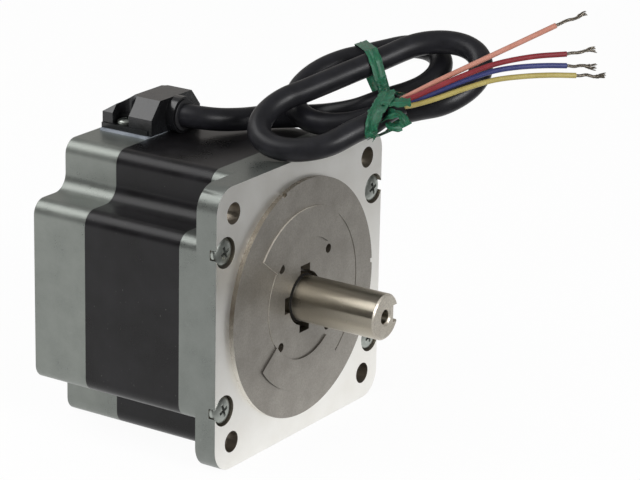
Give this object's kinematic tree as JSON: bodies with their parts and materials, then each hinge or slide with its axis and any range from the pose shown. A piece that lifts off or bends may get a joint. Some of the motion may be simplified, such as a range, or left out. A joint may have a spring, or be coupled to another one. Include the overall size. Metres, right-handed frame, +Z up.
{
  "type": "stepper motor",
  "caption": "Square-frame hybrid stepper motor with a keyed round shaft, a raised pilot, corner mounting holes and a tied hank of cable from a rear hood.",
  "frame": {"origin": "centre of the front mounting face, on the shaft axis", "axes": "-Y along the output shaft, away from the body; +Z up towards the cable hood; +X to the right seen from the shaft end"},
  "size_m": [0.1006, 0.1339, 0.1285],
  "materials": {
    "cast_front": "cast aluminium, machined on the face and the pilot",
    "cast_rear": "cast aluminium, fine grain",
    "stator_black": "satin black coating on stacked laminations",
    "screw_zinc": "zinc plated",
    "insulator": "moulded nylon",
    "enamelled_wire": "enamelled copper wire",
    "shaft_steel": "ground steel",
    "rotor_steel": "stacked electrical steel",
    "magnet": "dark sintered magnet",
    "bearing_steel": "polished bearing steel",
    "cage": "moulded nylon",
    "shield": "thin sheet steel",
    "hood_black": "satin black moulding",
    "gasket": "dark rubber sheet",
    "grommet": "black rubber",
    "cable_jacket": "satin black jacket",
    "insulation_orange": "salmon orange insulation",
    "insulation_red": "dull red insulation",
    "insulation_blue": "deep blue insulation",
    "insulation_yellow": "pale yellow insulation",
    "tinned_strands": "tinned copper strands, twisted",
    "tie_green": "thin green plastic ribbon over a wire"
  },
  "bodies": {
    "housing": {"front_flange": "cast_front", "stator_laminations": "stator_black", "rear_cap": "cast_rear", "tie_screws": "screw_zinc", "front_insulator": "insulator", "rear_insulator": "insulator", "phase_a_windings": "enamelled_wire", "phase_b_windings": "enamelled_wire", "front_outer_race": "bearing_steel", "front_shields": "shield", "rear_outer_race": "bearing_steel", "rear_shields": "shield", "wave_washer": "shield", "cable_hood": "hood_black", "hood_gasket": "gasket", "hood_screws": "screw_zinc", "cable_grommet": "grommet", "cable_run": "cable_jacket", "cable_hank": "cable_jacket", "lead_orange": "insulation_orange", "lead_red": "insulation_red", "lead_blue": "insulation_blue", "lead_yellow": "insulation_yellow", "bare_strands": "tinned_strands", "twist_tie": "tie_green", "internal_leads": "insulation_orange"},
    "rotor": {"shaft": "shaft_steel", "front_rotor_stack": "rotor_steel", "rear_rotor_stack": "rotor_steel", "rotor_magnet": "magnet", "front_inner_race": "bearing_steel", "rear_inner_race": "bearing_steel"},
    "front_ball_set": {"front_balls": "bearing_steel", "front_cage": "cage"},
    "rear_ball_set": {"rear_balls": "bearing_steel", "rear_cage": "cage"}
  },
  "joints": [
    {"name": "rotor_spin", "type": "hinge", "parent": "housing", "child": "rotor", "pos_m": [0, 0, 0], "axis": [0, -1, 0], "continuous": true},
    {"name": "front_ball_orbit", "type": "hinge", "parent": "housing", "child": "front_ball_set", "pos_m": [0, 0.0083, 0], "axis": [0, -1, 0], "continuous": true},
    {"name": "rear_ball_orbit", "type": "hinge", "parent": "housing", "child": "rear_ball_set", "pos_m": [0, 0.0558, 0], "axis": [0, -1, 0], "continuous": true}
  ],
  "couplings": [
    {"joint": "front_ball_orbit", "follows": "rotor_spin", "ratio": 0.3987},
    {"joint": "rear_ball_orbit", "follows": "rotor_spin", "ratio": 0.381}
  ]
}
